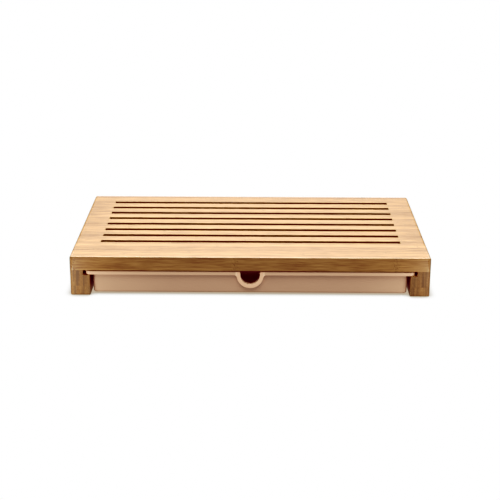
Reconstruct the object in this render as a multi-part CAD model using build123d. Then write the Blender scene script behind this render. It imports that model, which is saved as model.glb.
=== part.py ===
# Bread board: a slotted panel of glued bamboo lamellae on two side rails and a back rail,
# with a moulded plastic crumb tray that hangs by its rim in the rails and pulls out at the front.
#
# Frame, in millimetres: X to the right, Y to the back, Z up.
# The origin lies on the table, under the middle of the panel. The tray pulls out along -Y.
#
# The panel is laid up from lamellae stood on edge. Between the front board and the back board,
# full-length slats take turns with rows of short spacers at the two ends, and each gap between
# two spacers is a slot that crumbs fall through. Each side rail is a two-ply strip with a lower
# ledge strip glued to its inner face, so that panel, rail and ledge close a groove round the
# tray's rim, which slides on the ledge.

import os
from math import hypot

from build123d import *

# The panel
board_width = 380.0
board_thickness = 15.0
front_board_depth = 49.0
slot_count = 8
slot_width = 7.0
slat_width = 14.0
slot_easing = 0.2  # the chamfer round the top of each slot
slot_side_margin = 2.1  # the ends of the slots lie this far inside the tray's side walls
slot_back_margin = 2.5  # the last slot lies this far in front of the tray's back wall

# The rails under it
rail_height = 28.0
rail_thickness = 14.0
ledge_thickness = 7.0
back_rail_thickness = 14.0

# The sanding of the glued block
corner_radius = 4.0  # upright corners
side_edge_radius = 3.0  # left and right edges of the top
front_edge_radius = 1.5  # front and back edges of the top
foot_edge_radius = 2.0  # outer edges that stand on the table

# The tray
wall = 2.0
draft_angle = 1.2
rim_height = 4.2  # from the top of the turned-down rim to the edge that slides on the ledges
rim_thickness = 1.8
rim_overhang = 4.0  # the front wall stands this far behind the rim's front, and so at the back
rim_headroom = 1.3  # from the rim to the panel above it
rim_side_clearance = 2.1  # from the rim to the side rail
rim_back_clearance = 1.5  # from the rim to the back rail
body_side_clearance = 2.4  # from the tray's side wall to the ledge strip
front_setback = 1.5  # from the front of the board to the front of the rim
table_clearance = 1.2  # from the tray to the table
body_corner_radius = 3.5
rim_corner_radius = 5.0
floor_outer_radius = 2.5
floor_inner_radius = 0.8
flange_radius = 1.0  # where the flat of the rim turns into the walls
rim_softening = 0.7  # the round on the outer edges of the rim and of the notch

# The finger notch in the tray's front
notch_radius = 10.3
notch_flare_radius = 2.0  # where the sides of the notch turn into the rim's top
collar_width = 4.0
collar_fillet_radius = 2.8  # where the collar round the notch leaves the rim

# Places worked out from the sizes
back_board_depth = back_rail_thickness + rim_back_clearance + rim_overhang + wall + slot_back_margin
board_depth = front_board_depth + slot_count * (slot_width + slat_width) - slat_width + back_board_depth
total_height = rail_height + board_thickness
half_width = board_width / 2
front_y = -board_depth / 2
back_y = board_depth / 2
first_slot_y = front_y + front_board_depth
rail_inner_x = half_width - rail_thickness
ledge_inner_x = rail_inner_x - ledge_thickness
ledge_top_z = rail_height - rim_headroom - rim_height
rail_end_y = back_y - back_rail_thickness

tray_top_z = ledge_top_z + rim_height
tray_height = tray_top_z - table_clearance
rim_half_width = rail_inner_x - rim_side_clearance
rim_front_y = front_y + front_setback
rim_back_y = rail_end_y - rim_back_clearance
body_half_width = ledge_inner_x - body_side_clearance
slot_half_length = body_half_width - wall - slot_side_margin


def block(low, high):
    """A box between two corners."""
    size = [b - a for a, b in zip(low, high)]
    middle = [(a + b) / 2 for a, b in zip(low, high)]
    return Pos(*middle) * Box(*size)


def standing_outline(plane, width, top_radius, bottom_radius):
    """The outline of the whole block on an upright plane, with its top and bottom corners rounded."""
    outline = Rectangle(width, total_height, align=(Align.CENTER, Align.MIN))
    outline = fillet(outline.vertices().sort_by(Axis.Y)[-2:], top_radius)
    outline = fillet(outline.vertices().sort_by(Axis.Y)[:2], bottom_radius)
    return plane * outline


def sanded_block():
    """The outside of the wooden block after sanding, from its outlines seen from above, front and side."""
    plan = RectangleRounded(board_width, board_depth, corner_radius)
    front = standing_outline(Plane.XZ, board_width, side_edge_radius, foot_edge_radius)
    side = standing_outline(Plane.YZ, board_depth, front_edge_radius, foot_edge_radius)
    block_from_front = extrude(front, board_depth, both=True)
    block_from_side = extrude(side, board_width, both=True)
    return extrude(plan, total_height) & block_from_front & block_from_side


def slot_cutter(y_low):
    """One slot through the panel, flared by a small chamfer at its top."""
    middle_y = y_low + slot_width / 2
    length = 2 * slot_half_length
    shaft = Pos(0, middle_y, rail_height) * Box(length, slot_width, 2 * board_thickness)
    narrow = Pos(0, middle_y, total_height - slot_easing) * Rectangle(length, slot_width)
    wide = Pos(0, middle_y, total_height) * Rectangle(length + 2 * slot_easing, slot_width + 2 * slot_easing)
    return shaft + loft([narrow.face(), wide.face()])


def panel_pieces(sanded):
    """The boards, slats and spacers of the panel, by name."""
    slot_rows = [first_slot_y + row * (slot_width + slat_width) for row in range(slot_count)]
    panel = sanded
    for y_low in slot_rows:
        panel -= slot_cutter(y_low)

    def lamella(y_low, y_high, x_low=-half_width, x_high=half_width):
        return panel & block((x_low, y_low, rail_height), (x_high, y_high, total_height))

    pieces = {
        "front_board": lamella(front_y, first_slot_y),
        "back_board": lamella(back_y - back_board_depth, back_y),
    }
    for number, y_low in enumerate(slot_rows, start=1):
        y_high = y_low + slot_width
        pieces[f"spacer_left_{number}"] = lamella(y_low, y_high, x_high=-slot_half_length)
        pieces[f"spacer_right_{number}"] = lamella(y_low, y_high, x_low=slot_half_length)
        if number < slot_count:
            pieces[f"slat_{number}"] = lamella(y_high, y_high + slat_width)
    return pieces


def rail_pieces(sanded):
    """The two side rails with their ledge strips, and the back rail that stops the tray."""
    back_rail = block((-half_width, rail_end_y, 0), (half_width, back_y, rail_height))
    rail = block((rail_inner_x, front_y, 0), (half_width, rail_end_y, rail_height))
    ledge = block((ledge_inner_x, front_y, 0), (rail_inner_x, rail_end_y, ledge_top_z))
    return {
        "back_rail": sanded & back_rail,
        "side_rail_right": sanded & rail,
        "side_rail_left": sanded & mirror(rail, Plane.YZ),
        "ledge_strip_right": sanded & ledge,
        "ledge_strip_left": sanded & mirror(ledge, Plane.YZ),
    }


def outline_from_above(half_x, inset, radius):
    """A rounded rectangle at the tray's top, inset from the rim's front and back, drawn facing down."""
    y_low = rim_front_y + inset
    y_high = rim_back_y - inset
    plane = Plane(origin=(0, (y_low + y_high) / 2, tray_top_z), z_dir=(0, 0, -1))
    return plane * RectangleRounded(2 * half_x, y_high - y_low, radius)


def drafted_bowl(inset, floor_radius):
    """A bowl-shaped solid that narrows downwards, at an inset from the outside of the tray's walls."""
    outline = outline_from_above(body_half_width - inset, rim_overhang + inset, body_corner_radius - inset)
    bowl = extrude(outline, tray_height - inset, taper=draft_angle)
    return fillet(bowl.faces().sort_by(Axis.Z)[0].edges(), floor_radius)


def turned_down_rim():
    """The flat round the top of the tray and the rim turned down at its edge."""
    outer = outline_from_above(rim_half_width, 0, rim_corner_radius)
    inner = outline_from_above(rim_half_width - rim_thickness, rim_thickness, rim_corner_radius - rim_thickness)
    return extrude(outer, wall) + extrude(outer - inner, rim_height)


def round_ended_strip(radius):
    """A half-round at the level of the rim's lower edge, carried straight up, in the front plane."""
    straight = Rectangle(2 * radius, 2 * rim_height, align=(Align.CENTER, Align.MIN))
    return Pos(0, ledge_top_z) * (Circle(radius) + straight)


def flared_strip(radius, flare_radius, mouth_z):
    """The same strip, opening at mouth_z into a wide band with rounded inner corners."""
    band_half_width = radius + 2 * flare_radius
    band = Pos(0, mouth_z) * Rectangle(2 * band_half_width, 2 * rim_height, align=(Align.CENTER, Align.MIN))
    outline = round_ended_strip(radius) + band
    inner_corners = [
        corner
        for corner in outline.vertices()
        if abs(corner.Y - mouth_z) < flare_radius / 2 and abs(corner.X) < band_half_width - flare_radius
    ]
    return fillet(inner_corners, flare_radius)


def distance_from_outline(point):
    """How far a point lies outside the rim's rounded outline, seen from above."""
    middle_y = (rim_front_y + rim_back_y) / 2
    beyond_x = abs(point.X) - (rim_half_width - rim_corner_radius)
    beyond_y = abs(point.Y - middle_y) - (rim_back_y - middle_y - rim_corner_radius)
    return hypot(max(beyond_x, 0), max(beyond_y, 0)) - rim_corner_radius


def outer_edges(tray):
    """The edges round the outside of the rim, along its top and bottom and round the notch and collar."""
    return [
        edge
        for edge in tray.edges().filter_by(Axis.Z, reverse=True)
        if all(abs(distance_from_outline(edge @ along)) < 0.001 for along in (0, 0.5, 1))
    ]


def crumb_tray():
    """The tray in one moulding: drafted bowl, turned-down rim, and the finger notch with its collar."""
    front = Plane(origin=(0, rim_front_y, 0), x_dir=(1, 0, 0), z_dir=(0, -1, 0))
    above_rim = Pos(0, tray_top_z) * Rectangle(board_width, total_height, align=(Align.CENTER, Align.MIN))
    collar = flared_strip(notch_radius + collar_width, collar_fillet_radius, ledge_top_z) - above_rim
    throat = round_ended_strip(notch_radius + wall) - above_rim
    opening = flared_strip(notch_radius, notch_flare_radius, tray_top_z)

    tray = drafted_bowl(0, floor_outer_radius) + turned_down_rim()
    tray += extrude(front * collar, -rim_thickness)
    tray += extrude(front * throat, -(rim_overhang + wall))
    tray -= drafted_bowl(wall, floor_inner_radius)
    inner_top_edges = tray.faces().sort_by(Axis.Z)[-1].inner_wires()[0].edges()
    tray = fillet(inner_top_edges, flange_radius)
    tray -= extrude(front * opening, -(rim_overhang + 3 * wall))
    return fillet(outer_edges(tray), rim_softening)


block_outside = sanded_block()
pieces = panel_pieces(block_outside) | rail_pieces(block_outside)
pieces["crumb_tray"] = crumb_tray()

os.makedirs("parts", exist_ok=True)
for name, piece in pieces.items():
    export_step(piece, f"parts/{name}.step")
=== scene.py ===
import math

import bmesh
import bpy
from mathutils import Matrix, Vector


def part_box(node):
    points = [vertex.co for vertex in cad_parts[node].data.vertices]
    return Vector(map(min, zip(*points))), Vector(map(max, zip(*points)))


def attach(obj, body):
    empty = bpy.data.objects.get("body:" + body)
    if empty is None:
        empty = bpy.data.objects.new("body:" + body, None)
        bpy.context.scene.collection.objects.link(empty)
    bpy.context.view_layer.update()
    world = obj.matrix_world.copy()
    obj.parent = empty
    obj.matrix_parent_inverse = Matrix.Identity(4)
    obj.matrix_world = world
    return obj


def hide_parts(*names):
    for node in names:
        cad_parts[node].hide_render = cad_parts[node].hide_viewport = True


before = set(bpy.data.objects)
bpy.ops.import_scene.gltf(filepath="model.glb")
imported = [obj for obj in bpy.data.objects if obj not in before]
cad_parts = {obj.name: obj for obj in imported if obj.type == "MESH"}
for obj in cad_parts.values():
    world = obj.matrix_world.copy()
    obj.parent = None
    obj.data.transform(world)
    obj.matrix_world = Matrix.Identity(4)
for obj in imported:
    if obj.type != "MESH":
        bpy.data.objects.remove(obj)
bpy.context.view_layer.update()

MM = 0.001

# The bamboo: every board, slat and rail is laid up from lamellae of one thickness. A lamella of
# the panel was a little wider than the sanded panel is thick, and the rails are two rows of
# lamellae high.
LAMELLA = 7 * MM
PANEL_LAMELLA_WIDTH = 16 * MM
PANEL_SANDED_OFF = 0.5 * MM
RAIL_LAMELLA_WIDTH = 17.5 * MM
RAIL_ROW_JOINT_Z = 10.5 * MM
JOINT_SHIFT = 0.02 * MM  # keeps the joints of the pattern off the faces that lie in them

# The bamboo's nodes. A lamella's number times the turn or the stretch, less its whole part, sets
# where its first node lies and how far its nodes lie apart.
NODE_SPACING = 170 * MM
NODE_TURN = 0.618
NODE_STRETCH = 0.377
NODE_WAVER = 4 * MM
FRONT_NODE_X = -16 * MM

# The bamboo's patterns: spots in a metre along, through and across the fibres
SWAY_SCALE = (9, 50, 50)
LONG_SCALE = (3, 380, 380)
BROAD_SCALE = (30, 280, 280)
FINE_SCALE = (48, 1000, 1000)
BAND_SCALE = (0, 330, 14)
BUNDLE_SCALE = (24, 1150, 1150)
WAVER_SCALE = (0, 240, 240)
SPECK_SCALE = (680, 900, 560)
PATTERN_SHIFT = (9.0, 5.0, 7.0)  # how far, in spots, the patterns of two lamellae can lie apart
SWAY = 3 * MM

# Marks on the bamboo: each is whole up to the first distance and gone at the second
RING_FADE = (0.3 * MM, 1.1 * MM)
NODE_ZONE_FADE = (2 * MM, 6 * MM)
GLUE_FADE = (0.06 * MM, 0.2 * MM)
SPECK_FADE = (0.22, 0.40)  # in widths of a cell
BUNDLE_RADII = (0.10, 0.46)  # in widths of a cell, on the lamella's inner and outer side
BUNDLE_SOFTNESS = 0.10

# How strongly streaks and marks show
SKIN_DEPTH = 0.12
TONE_DEPTH = 0.40
LONG_DEPTH = 0.75
BROAD_DEPTH = 0.70
FINE_DEPTH = 1.5
NODE_ZONE_STRENGTH = 0.25
FIBRE_STRENGTH = 0.28
BUNDLE_STRENGTH = 0.22
END_BUNDLE_STRENGTH = 0.32  # added to it on a cut end
RING_STRENGTH = 0.22
SPECK_STRENGTH = 0.9
GLUE_STRENGTH = 0.30
# Painted shade on a slot's walls
SLOT_SHADE_STRENGTH = 0.85
END_STRENGTHS = (0.30, 0.80)  # of the end grain's colour, between its bands and in them

# The ground tone of the bamboo, from 0 for the pale wood to 1 for the dark
GROUND_SHADE = 0.53
# Painted shade: a broad face, such as the board's shaded front, is painted darker
BROAD_FACE_PAINTED_SHADE = 0.19  # added on a broad face
# Painted light and shade: the slats and spacers are painted paler between the slots and darker
# toward the ends, where less light falls
PAINTED_LIGHT_FADE = (140 * MM, 186 * MM)  # the slats' pale middle fades this far to the left and right
PAINTED_LIGHT_SHADES = (-0.07, 0.16)  # added in the pale middle and at the ends

# What a broad face and a cut end add to the contrast of the streaks, which is 1 elsewhere
BROAD_FACE_CONTRAST = -0.30
END_GRAIN_CONTRAST = -0.5

# The share of its normal at which a face starts to be, and is, an end, broad or a slot's wall
FACING = (0.5, 0.85)

# The tray's rim, the collar round its finger notch, and its floor
COLLAR_RADIUS = 14.3 * MM
COLLAR_WIDTH = 4 * MM
COLLAR_BLUR = 2 * MM
RIM_FADE = (1.9 * MM, 2.4 * MM)  # inward from the rim's outside
RIM_TOP_FADE = (1.0 * MM, 0.3 * MM)  # down from the tray's top
FLOOR_FACING = (0.7, 0.95)
FLOOR_FADE = (3 * MM, 6 * MM)  # up from the tray's underside
CLOUD_SCALE = (14, 14, 14)
GRAIN_SCALE = (2400, 2400, 2400)
FLOOR_GRAIN_SCALE = (900, 900, 900)
FLOOR_GRAIN_STRENGTH = 2.0

SURFACE_IOR = 1.5

# Merging a node's triangles into whole faces
MERGE_DISTANCE = 0.001 * MM
SLIVER_DISTANCE = 0.0001 * MM
FLAT_ANGLE = math.radians(0.1)
SHARP_ANGLE = math.radians(35)

# The camera, fitted to the photograph: place, turns in degrees and focal length in pixels
CAMERA_PLACE = Vector((5.92, -1337.15, 467.55)) * MM
CAMERA_PITCH = 18.783
CAMERA_YAW = -0.287
CAMERA_ROLL = 0.214
FOCAL_PIXELS = 1237.8
IMAGE_PIXELS = 500
SENSOR_WIDTH = 36

# The table
TABLE_SIZE = 16  # metres
CONTACT_SHADOW = 9 * MM  # how far the shadow at the feet reaches over the table
CONTACT_OPENNESS = (0.25, 1.0)
DEEP_SHADOW = 80 * MM  # what lies this near darkens a place on the table that is under the board
DEEP_OPENNESS = (0.0, 0.24)
OCCLUSION_SAMPLES = 16
GLOW_ON_THE_OBJECT = 0.64  # how much of the glow that the camera sees reaches the object

# The lamps and the room
SUNS = (("key", -34, 6.4, 24), ("fill", 33, 1.55, 40))  # tilt, strength, and width in degrees
OVERHEAD_PLACE = (-0.02, 0.045, 0.28)
OVERHEAD_TARGET = (-0.02, 0.045, 0.043)
OVERHEAD_SIZE = (0.2, 0.1)
OVERHEAD_ENERGY = 0.12
CARD_X, CARD_TARGET_X = 0.215, 0.19
CARD_Y, CARD_TARGET_Y = -0.165, -0.11
CARD_Z = 0.01
CARD_SIZE = (0.03, 0.02)
CARD_ENERGIES = ((-1, 0.028), (1, 0.023))  # left and right
ROOM_FADE = (0.1, 0.8)  # as the direction turns to the back
ROOM_STRENGTHS = (0.12, 0.28)
SIDES_FADE = (0.80, 0.97)  # as it turns to a side
SIDES_STRENGTH = 0.3

# The photograph's tones, as points on the curves of the view, each with what is given and shown
RED_TONES = ((0.03, 0.055), (0.08, 0.095), (0.19, 0.19))
GREEN_TONES = ((0.010, 0.0), (0.035, 0.024), (0.08, 0.076))
BLUE_TONES = ((0.005, 0.0), (0.012, 0.012), (0.03, 0.03))
COMBINED_TONES = ((0.04, 0.012), (0.10, 0.068), (0.20, 0.19), (0.36, 0.40), (0.60, 0.65))
RED_IN_BLACK = 0.017

# Colours, as linear RGBA
PALE_WOOD = (0.515, 0.281, 0.100, 1)
TAN_WOOD = (0.38, 0.195, 0.062, 1)
DARK_WOOD = (0.185, 0.066, 0.011, 1)
FIBRE_BROWN = (0.156, 0.062, 0.014, 1)
# Painted shade for a slot's walls
SLOT_SHADE_BROWN = (0.12, 0.048, 0.005, 1)
GREY_END_GRAIN = (0.094, 0.047, 0.022, 1)
RED_END_GRAIN = (0.075, 0.027, 0.006, 1)
TRAY_PEACH = (0.588, 0.347, 0.229, 1)
CLOUD_PEACH = tuple(0.94 * c for c in TRAY_PEACH[:3]) + (1,)
# Painted shade inside the tray: its floor is darker and redder
FLOOR_SHADE_PEACH = (0.52, 0.25, 0.152, 1)
# Painted light on the rim's outside and the collar, where they stand proud, and a painted highlight
# at the collar's edges
RIM_LIGHT_PEACH = (0.73, 0.435, 0.285, 1)
COLLAR_LIGHT_PEACH = (0.95, 0.545, 0.355, 1)
COLLAR_HIGHLIGHT_PEACH = (0.99, 0.64, 0.44, 1)
FEET_SHADOW = (0.42, 0.33, 0.26, 1)
UNDER_BOARD_SHADOW = (0.5, 0.38, 0.3, 1)
WHITE = (1, 1, 1, 1)
BLACK = (0, 0, 0, 1)


class Graph:
    """A node tree with short ways to add nodes and to join them."""

    def __init__(self, tree):
        self.tree = tree

    def add(self, kind, settings=None, **inputs):
        """Adds a node. An input's name has an underscore for each space."""
        node = self.tree.nodes.new(kind)
        for name, value in (settings or {}).items():
            setattr(node, name, value)
        for name, value in inputs.items():
            self.feed(node, name.replace("_", " "), value)
        return node

    def feed(self, node, name, value):
        """Sets an input, by its name or number, to a constant or to another node's output."""
        socket = node.inputs[name]
        if isinstance(value, bpy.types.NodeSocket):
            self.tree.links.new(value, socket)
        else:
            socket.default_value = value

    def math(self, operation, *values):
        node = self.add("ShaderNodeMath", {"operation": operation})
        for number, value in enumerate(values):
            self.feed(node, number, value)
        return node.outputs[0]

    def step(self, value, low, high, to_low=0.0, to_high=1.0):
        """A smooth step from to_low to to_high as value goes from low to high."""
        node = self.add("ShaderNodeMapRange", {"interpolation_type": "SMOOTHSTEP"})
        for number, item in enumerate((value, low, high, to_low, to_high)):
            self.feed(node, number, item)
        return node.outputs[0]

    def fade(self, value, low, high):
        """1 while value is under low, going smoothly to 0 at high."""
        return self.step(value, low, high, 1.0, 0.0)

    def mix(self, factor, first, second):
        """The first colour, going to the second as factor goes to 1."""
        node = self.add("ShaderNodeMix", {"data_type": "RGBA"})
        for number, item in ((0, factor), (6, first), (7, second)):
            self.feed(node, number, item)
        return node.outputs[2]

    def scaled(self, vector, scales, shift=(0, 0, 0)):
        """The vector times a scale for each axis, plus a shift."""
        node = self.add("ShaderNodeVectorMath", {"operation": "MULTIPLY_ADD"})
        for number, item in enumerate((vector, scales, shift)):
            self.feed(node, number, item)
        return node.outputs[0]

    def parts(self, vector):
        """The X, Y and Z of a vector."""
        return self.add("ShaderNodeSeparateXYZ", Vector=vector).outputs

    def noise(self, vector, detail=2.0, roughness=0.5):
        settings = {"Scale": 1.0, "Detail": detail, "Roughness": roughness}
        return self.add("ShaderNodeTexNoise", Vector=vector, **settings).outputs["Fac"]

    def cells(self, vector):
        """The distance from the middle of the nearest cell, in cell widths."""
        return self.add("ShaderNodeTexVoronoi", Vector=vector, Scale=1.0).outputs["Distance"]

    def openness(self, reach):
        """How open the surroundings are, up to a distance."""
        settings = {"samples": OCCLUSION_SAMPLES}
        return self.add("ShaderNodeAmbientOcclusion", settings, Distance=reach).outputs["AO"]

    def off_whole(self, value):
        """How far a value lies from the nearest whole number."""
        return self.math("ABSOLUTE", self.math("SUBTRACT", value, self.math("ROUND", value)))


def new_group(name, inputs, outputs):
    """A shader node group with named sockets.

    It comes as the group, its graph, its inputs' values and its output node.
    """
    group = bpy.data.node_groups.new(name, "ShaderNodeTree")
    for socket, kind, default in inputs:
        made = group.interface.new_socket(socket, in_out="INPUT", socket_type=kind)
        if default is not None:
            made.default_value = default
    for socket, kind in outputs:
        group.interface.new_socket(socket, in_out="OUTPUT", socket_type=kind)
    given = group.nodes.new("NodeGroupInput").outputs
    return group, Graph(group), given, group.nodes.new("NodeGroupOutput")


def new_material(name):
    """A material, its graph and its shader."""
    material = bpy.data.materials.new(name)
    material.use_nodes = True
    tree = material.node_tree
    return material, Graph(tree), tree.nodes["Principled BSDF"]


def new_object(name, data):
    """An object of the scene that holds the data."""
    made = bpy.data.objects.new(name, data)
    bpy.context.scene.collection.objects.link(made)
    return made


def bamboo_group():
    """Bamboo lamellae as a solid pattern.

    X runs along the fibres, Y through the lamellae and Z across them. End Grain is 1 where the
    fibres are cut across, Broad Face where a lamella shows its width, and Slot Wall in a slot. A
    broad face is painted darker and a slot's walls darker still, as painted shade. One more input
    says how much paler a piece is painted between the slots, as painted light, and how much darker
    at its ends, as painted shade.
    """
    group, g, given, result = new_group(
        "bamboo_lamellae",
        [
            ("Position", "NodeSocketVector", None),
            ("End Grain", "NodeSocketFloat", 0.0),
            ("End Color", "NodeSocketColor", GREY_END_GRAIN),
            ("End Depth", "NodeSocketFloat", 0.90),
            ("Broad Face", "NodeSocketFloat", 0.0),
            ("Slot Wall", "NodeSocketFloat", 0.0),
            ("Worn Middle", "NodeSocketFloat", 0.0),
            ("Lamella Width", "NodeSocketFloat", PANEL_LAMELLA_WIDTH),
            ("Seed", "NodeSocketFloat", 0.0),
            ("Node Place", "NodeSocketFloat", FRONT_NODE_X),
        ],
        [
            ("Color", "NodeSocketColor"),
            ("Roughness", "NodeSocketFloat"),
            ("Height", "NodeSocketFloat"),
        ],
    )
    place = given["Position"]
    end_grain = given["End Grain"]
    broad_face = given["Broad Face"]
    lamella_width = given["Lamella Width"]
    along, through, across = g.parts(place)

    # Which lamella this is, and random values for it
    through_steps = g.math("DIVIDE", through, LAMELLA)
    across_steps = g.math("DIVIDE", across, lamella_width)
    lamella = g.math("FLOOR", through_steps)
    row = g.math("FLOOR", across_steps)
    label = g.add("ShaderNodeCombineXYZ", X=lamella, Y=row, Z=given["Seed"]).outputs[0]
    random = g.add("ShaderNodeTexWhiteNoise", {"noise_dimensions": "3D"}, Vector=label).outputs
    tone = random["Value"]
    shift = g.scaled(random["Color"], PATTERN_SHIFT)
    second_random = g.add("ShaderNodeSeparateColor", Color=random["Color"]).outputs[1]

    # A lamella is densest on the side that was the outside of the culm, to the front or the back
    depth = g.math("FRACT", through_steps)
    turned = g.math("GREATER_THAN", second_random, 0.5)
    toward_skin = g.math("ABSOLUTE", g.math("SUBTRACT", depth, turned))

    # Fibres that sway a little: long, broad and fine streaks, and bundles that show as lines, or as
    # dots on a cut end, where they crowd into upright bands
    sway = g.noise(g.scaled(place, SWAY_SCALE, shift), 1.0)
    sideways = g.add("ShaderNodeCombineXYZ", Y=sway, Z=sway).outputs[0]
    place = g.scaled(sideways, (0, SWAY, SWAY), place)
    long = g.noise(g.scaled(place, LONG_SCALE, shift), 1.0)
    broad = g.noise(g.scaled(place, BROAD_SCALE, shift), 3.0, 0.55)
    fine = g.noise(g.scaled(place, FINE_SCALE, shift), 2.0, 0.6)
    band = g.step(g.noise(g.scaled(place, BAND_SCALE, shift), 2.0), 0.34, 0.66, *END_STRENGTHS)
    bundle_radius = g.step(toward_skin, 0.0, 1.0, *BUNDLE_RADII)
    off_bundle = g.math("SUBTRACT", g.cells(g.scaled(place, BUNDLE_SCALE, shift)), bundle_radius)
    bundle = g.fade(off_bundle, -BUNDLE_SOFTNESS, BUNDLE_SOFTNESS)

    # Nodes: a ring at its own places along every lamella, in a darker zone with specks
    turn = g.math("FRACT", g.math("MULTIPLY", lamella, NODE_TURN))
    stretch = g.math("FRACT", g.math("MULTIPLY", lamella, NODE_STRETCH))
    spacing = g.math("MULTIPLY_ADD", stretch, 0.3 * NODE_SPACING, NODE_SPACING)
    waver = g.noise(g.scaled(place, WAVER_SCALE, shift), 1.0)
    start = g.math("SUBTRACT", along, g.math("ADD", given["Node Place"], NODE_WAVER / 2))
    start = g.math("MULTIPLY_ADD", waver, NODE_WAVER, start)
    off_node = g.off_whole(g.math("ADD", g.math("DIVIDE", start, spacing), turn))
    off_node = g.math("MULTIPLY", off_node, spacing)
    ring = g.fade(off_node, *RING_FADE)
    zone = g.fade(off_node, *NODE_ZONE_FADE)
    speck = g.fade(g.cells(g.scaled(place, SPECK_SCALE, shift)), *SPECK_FADE)
    speck = g.math("MULTIPLY", speck, zone)

    # Glue lines between the lamellae. A broad face has only those of its rows.
    off_joint = g.math("MULTIPLY", g.off_whole(through_steps), LAMELLA)
    off_row = g.math("MULTIPLY", g.off_whole(across_steps), lamella_width)
    not_broad = g.math("SUBTRACT", 1.0, broad_face)
    face_glue = g.math("MULTIPLY", g.fade(off_joint, *GLUE_FADE), not_broad)
    glue = g.math("MAXIMUM", face_glue, g.fade(off_row, *GLUE_FADE))

    # Colour, from the ground tone to the marks
    streaks = g.math("MULTIPLY", g.math("SUBTRACT", toward_skin, 0.5), SKIN_DEPTH)
    for value, strength in (
        (tone, TONE_DEPTH),
        (long, LONG_DEPTH),
        (broad, BROAD_DEPTH),
        (fine, FINE_DEPTH),
    ):
        streaks = g.math("MULTIPLY_ADD", g.math("SUBTRACT", value, 0.5), strength, streaks)
    contrast = g.math("MULTIPLY_ADD", broad_face, BROAD_FACE_CONTRAST, 1.0)
    contrast = g.math("MULTIPLY_ADD", end_grain, END_GRAIN_CONTRAST, contrast)
    # Painted shade: a broad face is darker, for the shade on the board's front
    ground = g.math("MULTIPLY_ADD", broad_face, BROAD_FACE_PAINTED_SHADE, GROUND_SHADE)
    # Painted light between the slots and painted shade toward the ends
    painted_light = g.step(g.math("ABSOLUTE", along), *PAINTED_LIGHT_FADE, *PAINTED_LIGHT_SHADES)
    ground = g.math("MULTIPLY_ADD", given["Worn Middle"], painted_light, ground)
    shade = g.math("MULTIPLY_ADD", streaks, contrast, ground)
    color = g.mix(shade, PALE_WOOD, DARK_WOOD)
    color = g.mix(g.math("MULTIPLY", zone, NODE_ZONE_STRENGTH), color, TAN_WOOD)
    color = g.mix(g.step(fine, 0.48, 0.74, 0.0, FIBRE_STRENGTH), color, FIBRE_BROWN)
    bundle_strength = g.math("MULTIPLY_ADD", end_grain, END_BUNDLE_STRENGTH, BUNDLE_STRENGTH)
    marks = g.math("MULTIPLY", bundle, bundle_strength)
    for mark, strength in ((ring, RING_STRENGTH), (speck, SPECK_STRENGTH), (glue, GLUE_STRENGTH)):
        marks = g.math("MAXIMUM", marks, g.math("MULTIPLY", mark, strength))
    color = g.mix(marks, color, FIBRE_BROWN)
    cut_end = g.math("MULTIPLY", end_grain, given["End Depth"])
    color = g.mix(g.math("MULTIPLY", cut_end, band), color, given["End Color"])
    # Painted shade: a slot's walls are darkened, where shade falls in the slot
    slot_shade = g.math("MULTIPLY", given["Slot Wall"], SLOT_SHADE_STRENGTH)
    color = g.mix(slot_shade, color, SLOT_SHADE_BROWN)
    g.feed(result, "Color", color)

    # A satin that is duller on cut ends, with fine fibres, rings that stand out and sunk glue
    satin = g.math("MULTIPLY_ADD", fine, 0.16, 0.36)
    g.feed(result, "Roughness", g.math("MULTIPLY_ADD", end_grain, 0.15, satin))
    grooves = g.math("MULTIPLY_ADD", glue, -0.8, g.math("MULTIPLY", fine, 0.4))
    g.feed(result, "Height", g.math("MULTIPLY_ADD", ring, 0.5, grooves))
    return group


def bamboo(name, group, origin, turn=0, slot_sides=(0, 0), **settings):
    """A satin bamboo, with its lamellae counted from origin.

    turn, in degrees about Z, lays the fibres. slot_sides says whether the front and the back are
    walls of a slot, which are painted darker as painted shade, and settings go to the group.
    """
    material, g, shader = new_material(name)
    coordinates = g.add("ShaderNodeTexCoord").outputs
    laid = g.add("ShaderNodeMapping", {"vector_type": "TEXTURE"}, Vector=coordinates["Object"])
    laid.inputs["Location"].default_value = origin
    facing = g.add("ShaderNodeMapping", {"vector_type": "TEXTURE"}, Vector=coordinates["Normal"])
    for mapping in (laid, facing):
        mapping.inputs["Rotation"].default_value = (0, 0, math.radians(turn))
    along, through, _ = g.parts(facing.outputs[0])
    front_wall = g.step(through, -FACING[1], -FACING[0], slot_sides[0], 0.0)
    back_wall = g.step(through, *FACING, 0.0, slot_sides[1])
    wood = g.add(
        "ShaderNodeGroup",
        {"node_tree": group},
        Position=laid.outputs[0],
        End_Grain=g.step(g.math("ABSOLUTE", along), *FACING),
        Broad_Face=g.step(g.math("ABSOLUTE", through), *FACING),
        Slot_Wall=g.math("MAXIMUM", front_wall, back_wall),
        **settings,
    ).outputs
    bump = g.add("ShaderNodeBump", Strength=0.3, Distance=0.15 * MM, Height=wood["Height"])
    g.feed(shader, "Base Color", wood["Color"])
    g.feed(shader, "Roughness", wood["Roughness"])
    g.feed(shader, "Normal", bump.outputs[0])
    shader.inputs["IOR"].default_value = SURFACE_IOR
    return material


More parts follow.
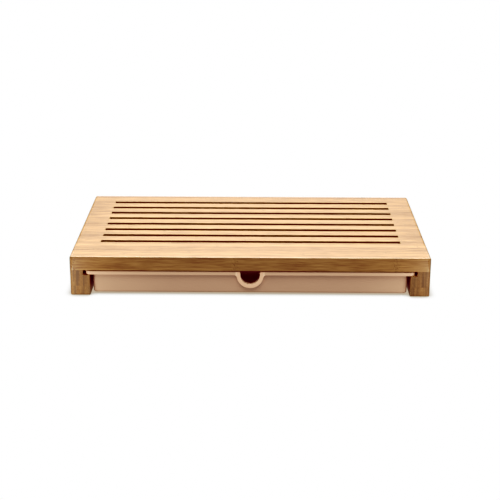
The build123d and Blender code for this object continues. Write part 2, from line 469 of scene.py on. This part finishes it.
def moulded_plastic():
    """The tray's matt plastic, faintly cloudy, with the fine grain of its mould.

    It is painted paler on the rim's outside and above all on the collar round the notch, as
    painted light where they stand proud, with a painted highlight at the collar's edges. The floor
    inside is painted darker and redder, as painted shade, and has a coarser grain.
    """
    material, g, shader = new_material("tray_plastic")
    coordinates = g.add("ShaderNodeTexCoord").outputs
    place = coordinates["Object"]
    x, y, z = g.parts(place)
    up = g.parts(coordinates["Normal"])[2]
    low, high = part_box("crumb_tray")

    # The rim's outside, under its top
    off_sides = g.math("SUBTRACT", high.x, g.math("ABSOLUTE", x))
    off_ends = g.math("MINIMUM", g.math("SUBTRACT", y, low.y), g.math("SUBTRACT", high.y, y))
    rim = g.fade(g.math("MINIMUM", off_sides, off_ends), *RIM_FADE)
    under_top = g.fade(z, high.z - RIM_TOP_FADE[0], high.z - RIM_TOP_FADE[1])
    rim = g.math("MULTIPLY", rim, under_top)

    # The collar, whose lower part is round and whose sides go straight up, and its edges
    below = g.math("MINIMUM", g.math("SUBTRACT", z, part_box("ledge_strip_left")[1].z), 0)
    from_notch = g.math("MULTIPLY_ADD", x, x, g.math("MULTIPLY", below, below))
    from_notch = g.math("SQRT", from_notch)
    near_notch = g.fade(from_notch, COLLAR_RADIUS, COLLAR_RADIUS + COLLAR_BLUR)
    collar = g.math("MULTIPLY", rim, near_notch)
    off_middle = g.math("SUBTRACT", from_notch, COLLAR_RADIUS - COLLAR_WIDTH / 2)
    off_middle = g.math("ABSOLUTE", off_middle)
    at_edges = g.step(off_middle, 0.25 * COLLAR_WIDTH, 0.5 * COLLAR_WIDTH)
    # Painted highlight at the collar's edges
    collar_highlight = g.math("MULTIPLY", collar, at_edges)

    # The floor inside, painted darker and redder as painted shade
    near_floor = g.fade(z, low.z + FLOOR_FADE[0], low.z + FLOOR_FADE[1])
    floor = g.math("MULTIPLY", g.step(up, *FLOOR_FACING), near_floor)

    cloud = g.step(g.noise(g.scaled(place, CLOUD_SCALE), 3.0), 0.3, 0.7)
    color = g.mix(cloud, TRAY_PEACH, CLOUD_PEACH)
    # Painted light on the rim and the collar, a painted highlight at the collar's edges, and
    # painted shade on the floor inside
    for mask, tint in (
        (floor, FLOOR_SHADE_PEACH),
        (rim, RIM_LIGHT_PEACH),
        (collar, COLLAR_LIGHT_PEACH),
        (collar_highlight, COLLAR_HIGHLIGHT_PEACH),
    ):
        color = g.mix(mask, color, tint)
    fine_grain = g.noise(g.scaled(place, GRAIN_SCALE))
    floor_grain = g.math("MULTIPLY", floor, g.noise(g.scaled(place, FLOOR_GRAIN_SCALE)))
    grain = g.math("MULTIPLY_ADD", floor_grain, FLOOR_GRAIN_STRENGTH, fine_grain)
    bump = g.add("ShaderNodeBump", Strength=0.2, Distance=0.05 * MM, Height=grain)
    g.feed(shader, "Base Color", color)
    g.feed(shader, "Roughness", g.math("MULTIPLY_ADD", fine_grain, 0.12, 0.40))
    g.feed(shader, "Normal", bump.outputs[0])
    shader.inputs["IOR"].default_value = SURFACE_IOR
    return material


def paint(piece, material):
    piece.data.materials.clear()
    piece.data.materials.append(material)


def smooth_copy(node_name, name, body):
    """A CAD node's shape with its triangles merged, its flats whole and its rounds shaded smooth.

    It replaces the node.
    """
    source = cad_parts[node_name]
    mesh = bpy.data.meshes.new(name)
    work = bmesh.new()
    work.from_mesh(source.data)
    bmesh.ops.remove_doubles(work, verts=work.verts, dist=MERGE_DISTANCE)
    bmesh.ops.dissolve_degenerate(work, edges=work.edges, dist=SLIVER_DISTANCE)
    bmesh.ops.dissolve_limit(work, angle_limit=FLAT_ANGLE, verts=work.verts, edges=work.edges)
    for face in work.faces:
        face.smooth = True
    for edge in work.edges:
        edge.smooth = edge.is_manifold and edge.calc_face_angle() < SHARP_ANGLE
    work.to_mesh(mesh)
    work.free()
    piece = new_object(name, mesh)
    piece.modifiers.new("flats_stay_flat", "WEIGHTED_NORMAL").keep_sharp = True
    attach(piece, body)
    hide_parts(node_name)
    return piece


def finish_wood(group):
    """A smooth copy of every board, slat, spacer and rail, in its own bamboo finish."""
    panel_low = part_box("front_board")[0]
    left_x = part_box("side_rail_left")[0].x
    right_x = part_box("side_rail_right")[1].x
    back_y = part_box("back_rail")[1].y

    def panel(name, **settings):
        origin = (0, panel_low.y - JOINT_SHIFT, panel_low.z - PANEL_SANDED_OFF)
        return bamboo(f"bamboo_{name}", group, origin, **settings)

    def rail(name, x=0.0, y=0.0, **settings):
        origin = (x, y, RAIL_ROW_JOINT_Z)
        settings["Lamella_Width"] = RAIL_LAMELLA_WIDTH
        return bamboo(f"bamboo_{name}", group, origin, **settings)

    # A piece takes the first finish whose key is in its name. The rails' finishes do for the ledge
    # strips too. A seed gives each lamella its tone.
    finishes = {
        "front_board": panel("front_board", slot_sides=(0, 1), Seed=3593.0),
        # The slats and spacers take painted light between the slots and painted shade at their ends
        "slat": panel("slats", slot_sides=(1, 1), Seed=892.0, Worn_Middle=1.0),
        "back_board": panel("back_board", slot_sides=(1, 0), Seed=3814.0),
        "spacer_left": panel("spacers_left", Seed=4.0, Worn_Middle=1.3),
        "spacer_right": panel("spacers_right", Seed=5.0, Worn_Middle=0.8),
        "back_rail": rail("back_rail", y=back_y + JOINT_SHIFT, Seed=3.0),
        "left": rail("rail_left", x=left_x - JOINT_SHIFT, turn=90, Seed=691.0, Node_Place=0.05),
        "right": rail(
            "rail_right",
            x=right_x + JOINT_SHIFT,
            turn=90,
            Seed=583.0,
            Node_Place=0.02,
            End_Color=RED_END_GRAIN,
            End_Depth=1.0,
        ),
    }
    for name in sorted(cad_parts):
        if name != "crumb_tray":
            piece = smooth_copy(name, f"{name}_sanded", "board")
            paint(piece, next(finish for part, finish in finishes.items() if part in name))


def finish_tray():
    """A smooth copy of the crumb tray in its plastic."""
    tray = smooth_copy("crumb_tray", "crumb_tray_moulding", "tray")
    paint(tray, moulded_plastic())


def white_floor():
    """A white table top that glows, but for the shadow at the feet and deep under the board.

    It lights the object a little less than it shows.
    """
    bpy.ops.mesh.primitive_plane_add(size=TABLE_SIZE)
    floor = bpy.context.object
    floor.name = "floor"
    material, g, shader = new_material("white_table")
    glow = g.mix(g.step(g.openness(CONTACT_SHADOW), *CONTACT_OPENNESS), FEET_SHADOW, WHITE)
    glow = g.mix(g.step(g.openness(DEEP_SHADOW), *DEEP_OPENNESS), UNDER_BOARD_SHADOW, glow)
    seen = g.add("ShaderNodeLightPath").outputs["Is Camera Ray"]
    strength = g.math("MULTIPLY_ADD", seen, 1 - GLOW_ON_THE_OBJECT, GLOW_ON_THE_OBJECT)
    g.feed(shader, "Emission Color", glow)
    g.feed(shader, "Emission Strength", strength)
    shader.inputs["Base Color"].default_value = BLACK
    shader.inputs["Specular IOR Level"].default_value = 0
    floor.data.materials.append(material)


def aimed_lamp(name, place, target, size, energy):
    """A soft rectangular lamp at place that shines at target and doesn't show."""
    lamp = bpy.data.lights.new(name, "AREA")
    lamp.shape = "RECTANGLE"
    lamp.size, lamp.size_y = size
    lamp.energy = energy
    lamp_object = new_object(name, lamp)
    lamp_object.visible_camera = False
    lamp_object.location = place
    aim = Vector(target) - Vector(place)
    lamp_object.rotation_euler = aim.to_track_quat("-Z", "Y").to_euler()


def studio_light():
    """The studio's lamps and its room, which is brightest at the back and at the sides.

    A broad key light shines from behind and a fill from the front, both high. A small lamp hangs
    over the middle, and a low one stands before each end of the front.
    """
    for name, tilt, energy, width in SUNS:
        lamp = bpy.data.lights.new(name, "SUN")
        lamp.energy = energy
        lamp.angle = math.radians(width)
        new_object(name, lamp).rotation_euler = (math.radians(tilt), 0, 0)

    aimed_lamp("overhead", OVERHEAD_PLACE, OVERHEAD_TARGET, OVERHEAD_SIZE, OVERHEAD_ENERGY)
    for side, energy in CARD_ENERGIES:
        place = (side * CARD_X, CARD_Y, CARD_Z)
        target = (side * CARD_TARGET_X, CARD_TARGET_Y, CARD_Z)
        aimed_lamp("front_card", place, target, CARD_SIZE, energy)

    world = bpy.data.worlds.new("studio")
    bpy.context.scene.world = world
    world.use_nodes = True
    g = Graph(world.node_tree)
    toward_x, toward_y, _ = g.parts(g.add("ShaderNodeTexCoord").outputs["Generated"])
    room = g.step(toward_y, *ROOM_FADE, *ROOM_STRENGTHS)
    sides = g.step(g.math("ABSOLUTE", toward_x), *SIDES_FADE, 0.0, SIDES_STRENGTH)
    seen = g.add("ShaderNodeLightPath").outputs["Is Camera Ray"]
    sky = world.node_tree.nodes["Background"]
    sky.inputs["Color"].default_value = WHITE
    g.feed(sky, "Strength", g.math("MAXIMUM", g.math("ADD", room, sides), seen))


def photograph_camera():
    """The camera at the photograph's place and angle."""
    pitch, yaw, roll = (math.radians(a) for a in (CAMERA_PITCH, CAMERA_YAW, CAMERA_ROLL))
    forward = Vector(
        (math.sin(yaw) * math.cos(pitch), math.cos(yaw) * math.cos(pitch), -math.sin(pitch))
    )
    level = Vector((math.cos(yaw), -math.sin(yaw), 0))
    upward = level.cross(forward)
    right = math.cos(roll) * level + math.sin(roll) * upward
    up = math.cos(roll) * upward - math.sin(roll) * level
    turned = Matrix((right, up, -forward)).transposed().to_4x4()
    data = bpy.data.cameras.new("camera")
    data.sensor_width = SENSOR_WIDTH
    data.lens = FOCAL_PIXELS * SENSOR_WIDTH / IMAGE_PIXELS
    camera = new_object("camera", data)
    camera.matrix_world = Matrix.Translation(CAMERA_PLACE) @ turned
    bpy.context.scene.camera = camera


def photograph_tones():
    """Plain tones with the photograph's deep shadows."""
    view = bpy.context.scene.view_settings
    view.view_transform = "Standard"
    view.use_curve_mapping = True
    curves = view.curve_mapping.curves
    curves[0].points[0].location = (0, RED_IN_BLACK)
    for curve, tones in zip(curves, (RED_TONES, GREEN_TONES, BLUE_TONES, COMBINED_TONES)):
        for given, shown in tones:
            curve.points.new(given, shown)
    view.curve_mapping.update()


finish_wood(bamboo_group())
finish_tray()
white_floor()
studio_light()
photograph_camera()
photograph_tones()
